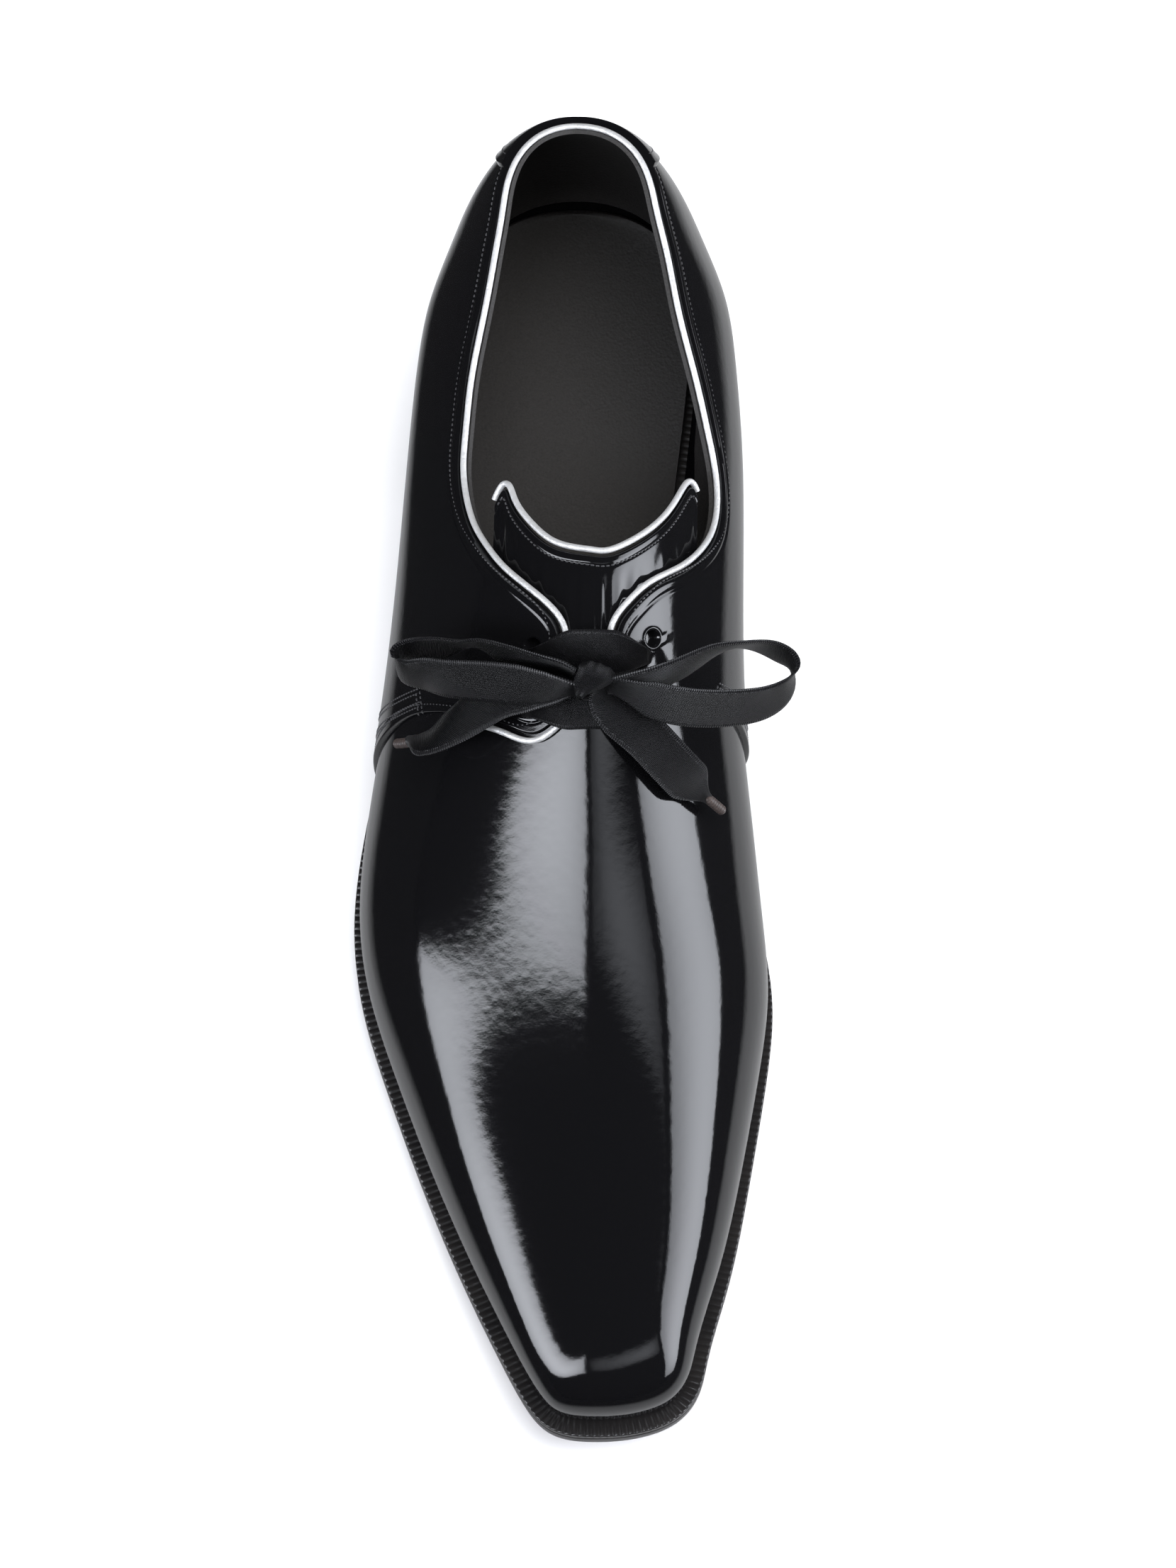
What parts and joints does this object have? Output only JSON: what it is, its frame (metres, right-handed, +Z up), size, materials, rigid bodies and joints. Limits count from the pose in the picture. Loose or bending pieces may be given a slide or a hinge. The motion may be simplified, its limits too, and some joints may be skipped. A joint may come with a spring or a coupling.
{
  "type": "patent derby dress shoe",
  "caption": "Right patent leather derby shoe with an elongated squared toe, bright piping at collar and tongue, and a flat ribbon lace tied in a bow.",
  "frame": {"origin": "on the floor, under the middle of the shoe's own box, measured without the bow", "axes": "+Z up, -Y towards the toe, +Y towards the heel, +X towards the inner (big toe) side"},
  "size_m": [0.1059, 0.3128, 0.1001],
  "materials": {
    "patent": "black patent leather, mirror gloss over a fine grain",
    "piping": "silver metallic leather piping",
    "ribbon": "black satin ribbon with woven edges",
    "sole_leather": "black waxed leather edge",
    "lining_leather": "black matt leather with a fine grain",
    "heel_rubber": "matt black rubber",
    "aglet": "grey-brown ribbed lace tip"
  },
  "bodies": {
    "root": {"heel_top_piece": "heel_rubber", "heel_stack": "sole_leather", "outsole": "sole_leather", "welt": "sole_leather", "insole": "lining_leather", "upper": "patent", "collar_piping": "piping", "tongue": "patent", "tongue_piping": "piping", "lace_bar_upper": "ribbon", "lace_bar_lower": "ribbon", "lace_knot": "ribbon", "lace_loop_left": "ribbon", "lace_loop_right": "ribbon", "lace_tail_left": "ribbon", "lace_tail_right": "ribbon", "aglet_left": "aglet", "aglet_right": "aglet"}
  },
  "joints": []
}
